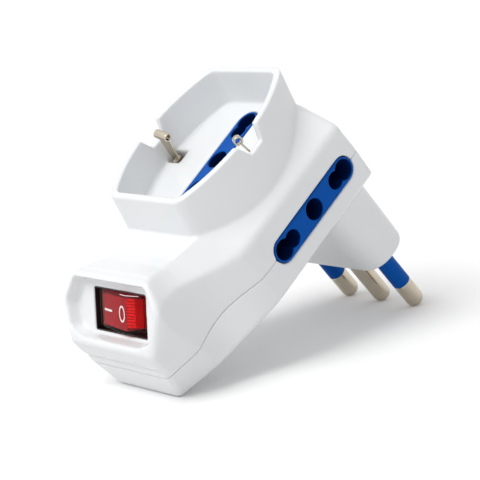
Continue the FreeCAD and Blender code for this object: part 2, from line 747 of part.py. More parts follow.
def lever():
    """The contact lever that the stem tips about its own small axle."""
    half = LEVER_WIDTH / 2
    top = LEVER_W + LEVER_PIN_R
    arm = box(-LEVER_HALF_L, LEVER_HALF_L, -half, half, top - 0.7, top)
    reach = LEVER_PIN_R + 0.5
    hub = box(-reach, reach, -half, half, LEVER_W - reach, top)
    axle = rod(V(0, -half - 1.4, LEVER_W), V(0, 2 * half + 2.8, 0), LEVER_PIN_R)
    return from_switch(arm.fuse([hub, axle]).removeSplitter())


def terminal(u, height):
    """A blade through the switch case's floor with a contact pad on its top."""
    top = RECESS_FLOOR - WALL
    foot = top - HOUSING_DEPTH - 3.0
    blade = box(u - 2.0, u + 2.0, -0.4, 0.4, foot, height - 0.8)
    pad = box(u - 1.4, u + 1.4, -1.4, 1.4, height - 0.8, height)
    return from_switch(blade.fuse(pad))


def terminals():
    """Feed and switched blades at the two ends of the lever."""
    level = LEVER_W + LEVER_PIN_R - 0.7
    drop = LEVER_HALF_L * math.sin(math.radians(12.0))
    feed = terminal(-LEVER_HALF_L, level - drop - 0.9)
    switched = terminal(LEVER_HALF_L, level - drop - 0.9)
    return feed, switched


def lamp():
    """The small glow lamp beside the lever, with its resistor on the case floor."""
    base = RECESS_FLOOR - WALL - HOUSING_DEPTH + HOUSING_WALL
    near = WINDOW_HALF_U - 0.2
    glass = rod(V(near - LAMP_R, -3.0, base + LAMP_R + 0.1), V(0, 6.0, 0), LAMP_R)
    low = base + RESISTOR_R + 0.1
    block = rod(V(RESISTOR_R - near, -3.2, low), V(0, 6.4, 0), RESISTOR_R)
    return from_switch(glass), from_switch(block)


def pieces():
    """Every piece by name, in the modelling frame."""
    front, back = covers()
    side = at_side(socket_insert(SIDE_INSERT_DEPTH))
    feed, switched = terminals()
    glass, resistor = lamp()
    pitch = PIN_PITCH
    bar_top = WELL_Z + BAR_LEVEL + BAR_THICK
    foot = WELL_Z - BAR_LEVEL - STRIP_REACH
    return {
        "front_cover": front,
        "rear_cover": back,
        "well_insert": at_well(socket_insert(WELL_INSERT_DEPTH)),
        "side_insert_right": side,
        "side_insert_left": mirrored(side),
        "line_pin": moved(pin(True), pitch),
        "neutral_pin": moved(pin(True), -pitch),
        "earth_pin": pin(False),
        "line_pin_sleeve": moved(sleeve(), pitch),
        "neutral_pin_sleeve": moved(sleeve(), -pitch),
        "earth_bow": earth_bow(),
        "earth_bar": contact_bar(-EARTH_LEVEL, EARTH_LEVEL, [0]),
        "line_bar": contact_bar(BAR_LEVEL, LEAF_LOW, [RETURN_LANE_X]),
        "neutral_bar": contact_bar(-BAR_LEVEL, -LEAF_LOW, [-pitch]),
        "line_link_in": pin_strip(pitch, foot),
        "line_link_out": upright(RETURN_LANE_X, foot, bar_top),
        "neutral_link": pin_strip(-pitch, foot),
        "earth_link": pin_strip(0, WELL_Z - EARTH_LEVEL - BAR_THICK),
        "switch_housing": housing(),
        "switch_rocker": rocker(),
        "rocker_diffuser": diffuser(),
        "contact_lever": lever(),
        "feed_terminal": feed,
        "switched_terminal": switched,
        "neon_lamp": glass,
        "lamp_resistor": resistor,
    }


def head_edge_profile():
    """Points (y, z) of the head's low back edge at its middle."""
    return [(REAR_Y - inset, UNDERSIDE_Z + depth) for inset, depth in edge_steps(LOW_EDGE_R)]


def heights(up):
    """How low the pin tips and the head's edge reach when direction up points upwards."""
    c, s = math.cos(up), math.sin(up)
    tip = min(y * c - r * abs(s) for y, r in tip_profile())
    edge = min(y * c + z * s for y, z in head_edge_profile())
    return tip, edge


def rest_turn():
    """The upward direction, as an angle from y, in which tips and edge stand level."""
    low, high = math.radians(120.0), math.radians(170.0)
    for _ in range(60):
        middle = (low + high) / 2
        tip, edge = heights(middle)
        if tip < edge:
            high = middle
        else:
            low = middle
    return math.degrees(low), min(heights(low))


def lay_down(shapes):
    """Turns the pieces into the resting pose, standing on z 0 and centred over it."""
    up, floor = rest_turn()
    turn = FreeCAD.Placement(V(0, 0, 0), FreeCAD.Rotation(V(1, 0, 0), 90.0 - up))
    for shape in shapes.values():
        shape.Placement = turn.multiply(shape.Placement)
    whole = Part.makeCompound(list(shapes.values())).optimalBoundingBox(False, False)
    shift = V(0, -(whole.YMin + whole.YMax) / 2, -floor)
    for shape in shapes.values():
        shape.translate(shift)
    print("rest turn", round(90.0 - up, 4), "shift", [round(c, 4) for c in shift])
    print("low", round(whole.ZMin - floor, 4), "size", round(whole.XLength, 2),
          round(whole.YLength, 2), round(whole.ZLength, 2))
    return shapes


def main():
    os.makedirs("parts", exist_ok=True)
    for name, shape in lay_down(pieces()).items():
        print(name, shape.isValid(), len(shape.Solids), round(shape.Volume, 1))
        shape.exportStep("parts/" + name + ".step")


main()
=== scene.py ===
"""Looks of a multi socket adapter with a lit rocker switch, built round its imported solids.

Sizes are in millimetres and angles in degrees, unless said otherwise. Each class draws its
pieces in frames of their own and lays them in the resting frame, which is in metres.
"""

import json
import logging
import math
from collections.abc import Callable
from dataclasses import dataclass
from enum import Enum

import bmesh
import bpy
from mathutils import Matrix, Vector
from mathutils.bvhtree import BVHTree


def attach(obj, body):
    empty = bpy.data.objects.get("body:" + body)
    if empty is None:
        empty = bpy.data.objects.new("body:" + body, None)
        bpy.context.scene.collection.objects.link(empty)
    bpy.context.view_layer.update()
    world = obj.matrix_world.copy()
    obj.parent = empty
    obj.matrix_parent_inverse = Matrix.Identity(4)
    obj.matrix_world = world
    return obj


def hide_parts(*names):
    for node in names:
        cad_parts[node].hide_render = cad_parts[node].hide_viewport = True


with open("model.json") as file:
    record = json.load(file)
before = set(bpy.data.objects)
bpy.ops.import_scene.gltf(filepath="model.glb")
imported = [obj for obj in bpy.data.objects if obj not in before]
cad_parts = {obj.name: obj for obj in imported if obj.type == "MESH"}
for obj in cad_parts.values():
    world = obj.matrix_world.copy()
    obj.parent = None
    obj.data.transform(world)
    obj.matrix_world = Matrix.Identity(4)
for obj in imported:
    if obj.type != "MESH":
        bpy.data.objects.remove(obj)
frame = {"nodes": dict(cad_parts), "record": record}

MM = 0.001
MERGE_M = 1e-6
MERGE_MM = 1e-4
SMOOTHING = 0.5
RIM_STEPS = 2
STRIP_EDGE_STEPS = 6
WHITE = (1.0, 1.0, 1.0, 1.0)

# The points of an outline or a profile in order, in millimetres.
Outline = list[tuple[float, float]]

log = logging.getLogger("adapter")


class Way(Enum):
    """The side of the casing that a socket insert faces."""

    FRONT = "front"
    RIGHT = "right"
    LEFT = "left"


def linear(code: str) -> tuple[float, float, float, float]:
    """Turns an sRGB hex colour into linear values.

    Args:
        code: six hex digits, with or without the leading mark.

    Returns:
        Linear red, green, blue and an alpha of one.
    """
    digits = code.lstrip("#")
    parts = [int(digits[i : i + 2], 16) / 255 for i in (0, 2, 4)]
    # The curve of the sRGB standard: a straight foot, then a power.
    values = [p / 12.92 if p <= 0.04045 else ((p + 0.055) / 1.055) ** 2.4 for p in parts]
    return (values[0], values[1], values[2], 1.0)


def add_node(tree: bpy.types.NodeTree, kind: str, inputs: dict[str | int, object] | None = None,
             **settings: object) -> bpy.types.Node:
    """Adds one node with its settings, values and links.

    Args:
        tree: the node tree.
        kind: the node's type name.
        inputs: input name or number to a value or to another node's output.
        settings: the node's own properties.

    Returns:
        The new node.
    """
    node = tree.nodes.new(kind)
    for name, value in settings.items():
        setattr(node, name, value)
    for key, value in (inputs or {}).items():
        if isinstance(value, bpy.types.NodeSocket):
            tree.links.new(value, node.inputs[key])
        else:
            node.inputs[key].default_value = value
    return node


def new_material(name: str) -> tuple[bpy.types.Material, bpy.types.NodeTree]:
    """Makes an empty node material.

    Args:
        name: the finish in a maker's words.

    Returns:
        The material and its cleared node tree.
    """
    material = bpy.data.materials.new(name)
    material.use_nodes = True
    material.node_tree.nodes.clear()
    return material, material.node_tree


def shown_rays(tree: bpy.types.NodeTree) -> bpy.types.NodeSocket:
    """Tells rays that show a surface, straight or in a mirror or lens, from those that light it.

    Args:
        tree: the node tree.

    Returns:
        A socket with 1 on camera, glossy and transmission rays, and 0 on all others.
    """
    path = add_node(tree, "ShaderNodeLightPath")
    direct = add_node(tree, "ShaderNodeMath",
                      {0: path.outputs["Is Camera Ray"], 1: path.outputs["Is Glossy Ray"]},
                      operation="MAXIMUM")
    shown = add_node(tree, "ShaderNodeMath",
                     {0: direct.outputs[0], 1: path.outputs["Is Transmission Ray"]},
                     operation="MAXIMUM")
    return shown.outputs[0]


def mount(name: str) -> dict:
    """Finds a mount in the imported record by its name."""
    return next(m for m in frame["record"]["mounts"] if m["name"] == name)


def pin_lean() -> float:
    """The angle in radians, about x, from the y axis to the pins' own axis."""
    axis = Vector(mount("earth_pin")["axis"])
    return math.atan2(axis.z, axis.y)


def casing_place() -> Matrix:
    """Works out where the casing stands, from its pins and its well's earth bore.

    Returns:
        The matrix from the casing's own upright frame, in millimetres, to the resting frame.
    """
    turn = Matrix.Rotation(pin_lean(), 4, "X")
    seat = Vector(mount("well_earth_bore")["pos_m"])
    bore_y = Casing.well_floor + SocketInserts.well_depth / 2
    inner = Vector((0.0, bore_y, Casing.well_z)) * MM
    return Matrix.Translation(seat - turn @ inner) @ turn @ Matrix.Scale(MM, 4)


@dataclass(frozen=True)
class PolishedPlastic:
    """Moulded plastic: its gloss lies over a faint, slow orange peel.

    Its colour drifts slowly to its shade and back, depth_mm is how far light goes into it, and
    glow, where set, is painted light: the surface gives off its own colour, as if lit.
    """

    name: str
    colour: str
    shade: str
    roughness: float
    peel_mm: float
    peel_depth_mm: float
    depth_mm: float = 0.0
    gloss: float = 0.5
    glow: float = 0.0
    drift_mm: float = 16.67
    polish: tuple[float, float] = (0.85, 1.2)
    ior: float = 1.54

    def make(self) -> bpy.types.Material:
        """Builds the material, its colour drifting a little as dyed granules mix in the melt.

        Returns:
            The material.
        """
        material, tree = new_material(self.name)
        place = add_node(tree, "ShaderNodeTexCoord").outputs["Object"]
        drift = add_node(tree, "ShaderNodeTexNoise",
                         {"Vector": place, "Scale": 1.0 / (self.drift_mm * MM), "Detail": 3.0})
        tint = add_node(
            tree, "ShaderNodeMix",
            {"Factor": drift.outputs["Fac"], "A": linear(self.colour), "B": linear(self.shade)},
            data_type="RGBA")
        # The peel keeps its real pitch, since one wave is a pixel or more in the photo's frame.
        peel = add_node(tree, "ShaderNodeTexNoise",
                        {"Vector": place, "Scale": 1.0 / (self.peel_mm * MM), "Detail": 2.0})
        polish = add_node(tree, "ShaderNodeMapRange", {
            "Value": peel.outputs["Fac"], "To Min": self.roughness * self.polish[0],
            "To Max": self.roughness * self.polish[1]})
        bump = add_node(tree, "ShaderNodeBump", {
            "Height": peel.outputs["Fac"], "Strength": 0.35,
            "Distance": self.peel_depth_mm * MM})
        # Emission, where glow is set, is painted light of the surface's own colour.
        shader = add_node(tree, "ShaderNodeBsdfPrincipled", {
            "Base Color": tint.outputs["Result"], "Roughness": polish.outputs["Result"],
            "Normal": bump.outputs["Normal"], "IOR": self.ior, "Specular IOR Level": self.gloss,
            "Emission Color": linear(self.colour), "Emission Strength": self.glow,
            "Subsurface Weight": 0.35 if self.depth_mm else 0.0,
            "Subsurface Scale": self.depth_mm * MM,
            "Subsurface Radius": (1.0, 0.95, 0.9)})
        add_node(tree, "ShaderNodeOutputMaterial", {"Surface": shader.outputs["BSDF"]})
        return material


@dataclass(frozen=True)
class WorkedBrass:
    """Brass, plated or bare, with fine marks from the tool across the pins' own axis.

    Its colour clouds over to its tarnish, and each mark is ring_mm wide and mark_mm long.
    """

    name: str
    colour: str
    tarnish: str
    roughness: float
    ring_mm: float
    mark_mm: float = 25.0
    cloud_mm: float = 2.38
    polish: tuple[float, float] = (0.7, 1.4)

    def make(self) -> bpy.types.Material:
        """Builds the material with its marks turned to the pins' own axis.

        Returns:
            The material.
        """
        material, tree = new_material(self.name)
        place = add_node(tree, "ShaderNodeTexCoord").outputs["Object"]
        lined_up = add_node(tree, "ShaderNodeMapping",
                            {"Vector": place, "Rotation": (-pin_lean(), 0.0, 0.0)})
        # Tool marks of a hundredth of a millimetre are drawn wider, so that they show from near.
        along = 1.0 / (self.mark_mm * MM)
        rings = add_node(tree, "ShaderNodeMapping",
                         {"Vector": lined_up.outputs["Vector"],
                          "Scale": (along, 1.0 / (self.ring_mm * MM), along)})
        marks = add_node(tree, "ShaderNodeTexNoise",
                         {"Vector": rings.outputs["Vector"], "Scale": 1.0, "Detail": 4.0})
        cloud = add_node(tree, "ShaderNodeTexNoise",
                         {"Vector": place, "Scale": 1.0 / (self.cloud_mm * MM), "Detail": 4.0})
        tint = add_node(
            tree, "ShaderNodeMix",
            {"Factor": cloud.outputs["Fac"], "A": linear(self.colour), "B": linear(self.tarnish)},
            data_type="RGBA")
        rough = add_node(tree, "ShaderNodeMapRange", {
            "Value": marks.outputs["Fac"], "To Min": self.roughness * self.polish[0],
            "To Max": self.roughness * self.polish[1]})
        bump = add_node(tree, "ShaderNodeBump", {
            "Height": marks.outputs["Fac"], "Strength": 0.1, "Distance": 0.02 * MM})
        shader = add_node(tree, "ShaderNodeBsdfPrincipled", {
            "Base Color": tint.outputs["Result"], "Metallic": 1.0,
            "Roughness": rough.outputs["Result"], "Normal": bump.outputs["Normal"]})
        add_node(tree, "ShaderNodeOutputMaterial", {"Surface": shader.outputs["BSDF"]})
        return material


@dataclass(frozen=True)
class TintedLens:
    """Clear plastic or glass with a dye in it: light goes through it to what lies inside."""

    name: str
    colour: str
    roughness: float
    ior: float = 1.58
    haze_mm: float = 2.0
    polish: tuple[float, float] = (0.5, 1.6)

    def make(self) -> bpy.types.Material:
        """Builds the material, with a little haze from handling in its gloss.

        Returns:
            The material.
        """
        material, tree = new_material(self.name)
        place = add_node(tree, "ShaderNodeTexCoord").outputs["Object"]
        haze = add_node(tree, "ShaderNodeTexNoise",
                        {"Vector": place, "Scale": 1.0 / (self.haze_mm * MM), "Detail": 3.0})
        rough = add_node(tree, "ShaderNodeMapRange", {
            "Value": haze.outputs["Fac"], "To Min": self.roughness * self.polish[0],
            "To Max": self.roughness * self.polish[1]})
        shader = add_node(tree, "ShaderNodeBsdfPrincipled", {
            "Base Color": linear(self.colour), "Roughness": rough.outputs["Result"],
            "IOR": self.ior, "Transmission Weight": 1.0})
        add_node(tree, "ShaderNodeOutputMaterial", {"Surface": shader.outputs["BSDF"]})
        return material


@dataclass(frozen=True)
class StudioPaper:
    """Matt white paper under the object, white to the camera and to mirrors."""

    name: str
    colour: str
    bounce: str
    lift: float
    fibre_mm: float = 1.11

    def make(self) -> bpy.types.Material:
        """Builds the paper: it keeps the shadow, and a lift makes its open parts white.

        It throws light back at the object like a greyer sheet, so that sides stay apart.

        Returns:
            The material.
        """
        material, tree = new_material(self.name)
        place = add_node(tree, "ShaderNodeTexCoord").outputs["Object"]
        path = add_node(tree, "ShaderNodeLightPath")
        glow = add_node(tree, "ShaderNodeMath", {0: shown_rays(tree), 1: self.lift},
                        operation="MULTIPLY")
        fibre = add_node(tree, "ShaderNodeTexNoise",
                         {"Vector": place, "Scale": 1.0 / (self.fibre_mm * MM)})
        bump = add_node(tree, "ShaderNodeBump",
                        {"Height": fibre.outputs["Fac"], "Strength": 0.1, "Distance": 0.02 * MM})
        tint = add_node(
            tree, "ShaderNodeMix",
            {"Factor": path.outputs["Is Camera Ray"], "A": linear(self.bounce),
             "B": linear(self.colour)},
            data_type="RGBA")
        shader = add_node(tree, "ShaderNodeBsdfPrincipled", {
            "Base Color": tint.outputs["Result"], "Roughness": 0.9,
            "Normal": bump.outputs["Normal"],
            "Emission Color": WHITE, "Emission Strength": glow.outputs[0]})
        add_node(tree, "ShaderNodeOutputMaterial", {"Surface": shader.outputs["BSDF"]})
        return material


# ABS off a polished tool: near white, a clear gloss that a slow peel bends, and light that goes
# a little way in and softens its edges.
WHITE_ABS = PolishedPlastic("moulded glossy white ABS", "#eef0f1", "#eaecee", 0.22, 2.2, 0.01,
                            depth_mm=0.6)
# Nylon off a finely blasted tool: a deep, even blue with hardly a mirror in it.
BLUE_NYLON = PolishedPlastic("moulded satin blue nylon", "#0056b2", "#004fa6", 0.34, 0.5, 0.012,
                             gloss=0.07)
# The same nylon on the holes' walls, a darker blue that is painted shade, and matt, so that they look
# deep.
BORE_SHADE_BLUE = PolishedPlastic("blue bore wall with painted shade", "#002664", "#001e54", 0.6, 0.5, 0.012,
                            gloss=0.02)
# PBT of the switch's case: near black, with a soft shine along its edges.
BLACK_PBT = PolishedPlastic("moulded black PBT", "#121213", "#0b0b0c", 0.30, 0.8, 0.008)
# The light guide under the lens: a deep red, whose glow is painted light that makes it look lit from
# inside.
RED_CORE_PAINTED_GLOW = PolishedPlastic("moulded red light guide with painted glow", "#a4060c", "#920408", 0.35, 0.9, 0.01,
                           gloss=0.05, glow=0.3)
# The milky window under the long facet: a paler, duller red, whose glow is painted light that lights
# it evenly.
PALE_CORE_PAINTED_GLOW = PolishedPlastic("moulded milky red window with painted glow", "#ae464d", "#8a2228", 0.35, 0.9, 0.01,
                            gloss=0.08, glow=0.23)
# The guide's ribs: the brightest red, with the strongest glow, painted light that makes them look lit
# from inside.
RIB_RED_PAINTED_GLOW = PolishedPlastic("moulded bright red ribs with painted glow", "#d01c20", "#c01216", 0.3, 0.9, 0.01,
                          gloss=0.2, glow=0.42)
# Clear plastic over the dark case: a brown grey band at the rocker's far end, whose glow is painted
# light that lifts it out of the case's shade.
SMOKE_PAINTED_GLOW = PolishedPlastic("smoky clear rocker end with painted glow", "#75655f", "#4f4644", 0.35, 0.9, 0.01,
                        glow=0.25)
# Thin white ink over red: matt and a little pink, for the printed marks, and for the pale strip that
# is a painted highlight along the rocker's upper edge.
PRINT_AND_HIGHLIGHT_WHITE = PolishedPlastic("pad printed white ink and painted highlight", "#fbe9ea", "#f4dcdd", 0.45, 0.3, 0.004)
# Lacquer on the resistor: a tan shell with a soft shine.
RESISTOR_LACQUER = PolishedPlastic("lacquered resistor", "#b99469", "#a8845c", 0.4, 0.4, 0.01)
# Nickel plate on turned brass: a warm grey metal whose shine the lathe's fine rings spread.
NICKEL = WorkedBrass("nickel plated brass", "#d2c8b7", "#c4b9a6", 0.11, 0.06)
# Brass as it leaves the rolls: a yellow metal, duller, with broader marks.
STRIP_BRASS = WorkedBrass("rolled brass strip", "#c9a55c", "#b08d48", 0.32, 0.2)
# Polycarbonate dyed red: clear and glossy, it reddens all that lies inside. Sunk into its dark
# case it mirrors little of the studio, hence its low index.
RED_LENS = TintedLens("red polycarbonate lens", "#f0a8a8", 0.04, ior=1.15)
# Glass of the lamp's bulb: clear and barely warm in tint.
LAMP_GLASS = TintedLens("clear lamp glass", "#f6e6da", 0.05)
# Matt paper: an even white ground that keeps the object's soft shadow.
PAPER = StudioPaper("white studio paper", "#f6f6f6", "#e9e9e9", 0.07)


def link(name: str, mesh: bpy.types.Mesh, material: bpy.types.Material, body: str) -> bpy.types.Object:
    """Puts a finished mesh into the scene on its body.

    Args:
        name: the piece's name.
        mesh: its mesh, already in the resting frame.
        material: its finish.
        body: the CAD body that it rides on.

    Returns:
        The piece.
    """
    piece = bpy.data.objects.new(name, mesh)
    bpy.context.collection.objects.link(piece)
    mesh.materials.clear()
    mesh.materials.append(material)
    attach(piece, body)
    return piece


def dress(node: str, material: bpy.types.Material) -> bpy.types.Object:
    """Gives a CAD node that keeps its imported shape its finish.

    Args:
        node: the CAD node.
        material: its finish.

    Returns:
        The node's object.
    """
    piece = frame["nodes"][node]
    piece.data.materials.clear()
    piece.data.materials.append(material)
    return piece


def smooth(piece: bpy.types.Object, angle: float = 40.0) -> None:
    """Shades a piece smooth below an angle and keeps its wide faces flat.

    Args:
        piece: the object.
        angle: edges steeper than this, in degrees, stay crisp.
    """
    for face in piece.data.polygons:
        face.use_smooth = True
    piece.data.set_sharp_from_angle(angle=math.radians(angle))
    modifier = piece.modifiers.new("wide faces stay flat", "WEIGHTED_NORMAL")
    modifier.keep_sharp = True


def plain_copy(maker: bpy.types.Object) -> bpy.types.Mesh:
    """Turns an object with its modifiers into a plain mesh and removes the object.

    Args:
        maker: a scratch object.

    Returns:
        The evaluated mesh.
    """
    if maker.name not in bpy.context.collection.objects:
        bpy.context.collection.objects.link(maker)
    graph = bpy.context.evaluated_depsgraph_get()
    mesh = bpy.data.meshes.new_from_object(maker.evaluated_get(graph))
    bpy.data.objects.remove(maker)
    return mesh


def moulded_skin(node: str, place: Matrix, voxel_mm: float, relax: int, keep: float,
                 soft: Callable[[Vector], bool] | None, more: int) -> bpy.types.Mesh:
    """Gives a CAD node's solid the soft edges of a moulding.

    Args:
        node: the CAD node.
        place: the casing's frame, so that the grid lies along the flat sides.
        voxel_mm: the grid's step.
        relax: smoothing rounds.
        keep: the share of the triangles that is kept.
        soft: says of a point in the casing's frame whether its form is a softer one, if any is.
        more: smoothing rounds that such points get besides.

    Returns:
        The softened mesh in the resting frame.
    """
    mesh = frame["nodes"][node].data.copy()
    shape = bmesh.new()
    shape.from_mesh(mesh)
    bmesh.ops.remove_doubles(shape, verts=shape.verts, dist=MERGE_M)
    shape.transform(place.inverted())
    shape.to_mesh(mesh)
    shape.free()
    maker = bpy.data.objects.new(node + "_maker", mesh)
    grid = maker.modifiers.new("grid", "REMESH")
    grid.mode = "VOXEL"
    grid.voxel_size = voxel_mm
    soften = maker.modifiers.new("soften", "SMOOTH")
    soften.factor = SMOOTHING
    soften.iterations = relax
    if soft:
        skin = plain_copy(maker)
        maker = bpy.data.objects.new(node + "_soft_maker", skin)
        group = maker.vertex_groups.new(name="soft forms")
        group.add([v.index for v in skin.vertices if soft(v.co)], 1.0, "REPLACE")
        again = maker.modifiers.new("soften forms", "SMOOTH")
        again.vertex_group = group.name
        again.factor = SMOOTHING
        again.iterations = more
    thin = maker.modifiers.new("thin out", "DECIMATE")
    thin.ratio = keep
    skin = plain_copy(maker)
    skin.transform(place)
    for face in skin.polygons:
        face.use_smooth = True
    return skin


def arc(cx: float, cy: float, radius: float, start: float, end: float, count: int) -> Outline:
    """Points along an arc.

    Args:
        cx: centre across.
        cy: centre along.
        radius: radius.
        start: first angle in degrees.
        end: last angle in degrees.
        count: number of steps.

    Returns:
        The points, both ends included.
    """
    angles = [math.radians(start + (end - start) * k / count) for k in range(count + 1)]
    return [(cx + radius * math.cos(a), cy + radius * math.sin(a)) for a in angles]


def moulded_plate(name: str, loops: list[Outline], low: float, high: float, edge: float,
                  place: Matrix) -> bpy.types.Mesh:
    """A plate of any outline, with holes and rounded rims.

    Args:
        name: the piece's name.
        loops: the outline and the holes, as closed loops in millimetres.
        low: height of its back.
        high: height of its face.
        edge: radius of its rims.
        place: matrix from the plate's own frame to the resting frame.

    Returns:
        The mesh in the resting frame.
    """
    curve = bpy.data.curves.new(name, "CURVE")
    curve.dimensions = "2D"
    curve.fill_mode = "BOTH"
    curve.extrude = (high - low) / 2 - edge
    curve.bevel_depth = edge
    curve.bevel_resolution = RIM_STEPS
    curve.offset = -edge
    for loop in loops:
        spline = curve.splines.new("POLY")
        spline.points.add(len(loop) - 1)
        for point, (x, y) in zip(spline.points, loop):
            point.co = (x, y, 0.0, 1.0)
        spline.use_cyclic_u = True
    mesh = plain_copy(bpy.data.objects.new(name + "_maker", curve))
    shape = bmesh.new()
    shape.from_mesh(mesh)
    bmesh.ops.remove_doubles(shape, verts=shape.verts, dist=MERGE_MM)
    bmesh.ops.recalc_face_normals(shape, faces=shape.faces)
    shape.to_mesh(mesh)
    shape.free()
    mesh.transform(place @ Matrix.Translation((0.0, 0.0, (low + high) / 2)))
    return mesh


def turned(name: str, profile: Outline, place: Matrix, steps: int = 72) -> bpy.types.Mesh:
    """A turned piece, closed at both ends.

    Args:
        name: the piece's name.
        profile: (radius, height) from the bottom to the top, in millimetres.
        place: matrix whose z axis is the piece's own axis.
        steps: facets round it.

    Returns:
        The mesh in the resting frame.
    """
    shape = bmesh.new()
    rings = []
    for radius, height in profile:
        if radius < MERGE_MM:
            rings.append([shape.verts.new((0.0, 0.0, height))])
            continue
        rings.append([
            shape.verts.new((radius * math.cos(a), radius * math.sin(a), height))
            for a in (2 * math.pi * k / steps for k in range(steps))])
    for lower, upper in zip(rings, rings[1:]):
        for k in range(steps):
            n = (k + 1) % steps
            corners = [lower[k % len(lower)], lower[n % len(lower)],
                       upper[n % len(upper)], upper[k % len(upper)]]
            unique = list(dict.fromkeys(corners))
            if len(unique) > 2:
                shape.faces.new(unique)
    if profile[0] == profile[-1]:
        bmesh.ops.remove_doubles(shape, verts=shape.verts, dist=MERGE_MM)
    bmesh.ops.recalc_face_normals(shape, faces=shape.faces)
    mesh = bpy.data.meshes.new(name)
    shape.to_mesh(mesh)
    shape.free()
    mesh.transform(place)
    return mesh


def flowing(points: Outline, steps: int) -> list[Vector]:
    """A smooth line through a few points.

    Args:
        points: the points it passes.
        steps: pieces between two of them.

    Returns:
        Points along the line.
    """
    # A Catmull-Rom curve, with a point mirrored outwards at each end.
    p = [Vector((x, y, 0.0)) for x, y in points]
    p = [p[0] * 2 - p[1]] + p + [p[-1] * 2 - p[-2]]
    line = []
    for a, b, c, d in zip(p, p[1:], p[2:], p[3:]):
        for k in range(steps):
            t = k / steps
            line.append(0.5 * (2 * b + (c - a) * t + (2 * a - 5 * b + 4 * c - d) * t ** 2
                               + (3 * b - a - 3 * c + d) * t ** 3))
    return line + [p[-2]]


def bent_strip(name: str, line: list[Vector], width: float, thick: float, middle: float,
               place: Matrix, start: float = 1.0, widening: int = 7) -> bpy.types.Mesh:
    """A metal strip with rolled edges, bent along a line in the x y plane.

    Args:
        name: the piece's name.
        line: its middle line.
        width: its width along z.
        thick: its thickness.
        middle: height of its middle.
        place: matrix to the resting frame.
        start: share of the width at its first point, from which it widens to its full width.
        widening: number of points after which it has its full width.

    Returns:
        The mesh in the resting frame.
    """
    r = thick / 2
    half = width / 2 - r
    section = [(r * math.cos(a), half + r * math.sin(a))
               for a in (math.pi * k / STRIP_EDGE_STEPS for k in range(STRIP_EDGE_STEPS + 1))]
    section += [(-x, -z) for x, z in section]
    shape = bmesh.new()
    rings = []
    for i, point in enumerate(line):
        ahead = line[min(i + 1, len(line) - 1)] - line[max(i - 1, 0)]
        side = Vector((-ahead.y, ahead.x, 0.0)).normalized()
        share = start + (1.0 - start) * min(1.0, i / widening)
        rings.append([
            shape.verts.new(point + side * x + Vector((0.0, 0.0, middle + z * share)))
            for x, z in section])
    count = len(section)
    for lower, upper in zip(rings, rings[1:]):
        for k in range(count):
            n = (k + 1) % count
            shape.faces.new((lower[k], lower[n], upper[n], upper[k]))
    shape.faces.new(rings[0])
    shape.faces.new(list(reversed(rings[-1])))
    bmesh.ops.recalc_face_normals(shape, faces=shape.faces)
    mesh = bpy.data.meshes.new(name)
    shape.to_mesh(mesh)
    shape.free()
    mesh.transform(place)
    return mesh


@dataclass
class Casing:
    """The white shell in two covers that meet on the parting line.

    The switch head is smoothed more than the rest, but not near the parting line or the
    switch's opening, whose edges stay crisp.
    """

    well_z: float = -11.6
    well_floor: float = -48.6
    grid_mm: float = 0.3
    relax: int = 6
    keep_front: float = 0.38
    keep_rear: float = 0.4
    head_top_z: float = -46.0
    head_rounds: int = 30
    parting_margin: float = 0.9
    opening_margin: tuple[float, float] = (12.3, 6.6)

    def soft_forms(self, place: Matrix) -> Callable[[Vector], bool]:
        """Picks the switch head's outer forms, off the parting line and the switch's opening.

        Args:
            place: the casing's frame.

        Returns:
            The test of a point in the casing's frame.
        """
        rear = frame["nodes"]["rear_cover"].data
        home = place.inverted()
        beyond = BVHTree.FromPolygons([home @ v.co for v in rear.vertices],
                                      [tuple(p.vertices) for p in rear.polygons])
        switch = RockerSwitch().frame_of(Matrix.Identity(4)).inverted()

        def chosen(point: Vector) -> bool:
            """Says whether a point is on the head's soft forms.

            Args:
                point: a point in the casing's frame.

            Returns:
                True where it is.
            """
            across, along, _ = switch @ point
            opening = abs(across) < self.opening_margin[0] and abs(along) < self.opening_margin[1]
            if opening or point.z >= self.head_top_z:
                return False
            _, _, _, distance = beyond.find_nearest(point)
            return distance > self.parting_margin

        return chosen

    def build(self, place: Matrix) -> list[bpy.types.Object]:
        """Builds and dresses both covers.

        Args:
            place: the casing's frame.

        Returns:
            The front and the rear cover.
        """
        white = WHITE_ABS.make()
        made = []
        for node, keep, soft in (("front_cover", self.keep_front, self.soft_forms(place)),
                                 ("rear_cover", self.keep_rear, None)):
            mesh = moulded_skin(node, place, self.grid_mm, self.relax, keep, soft,
                                self.head_rounds)
            piece = link(node + "_shell", mesh, white, "casing")
            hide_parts(node)
            made.append(piece)
        return made


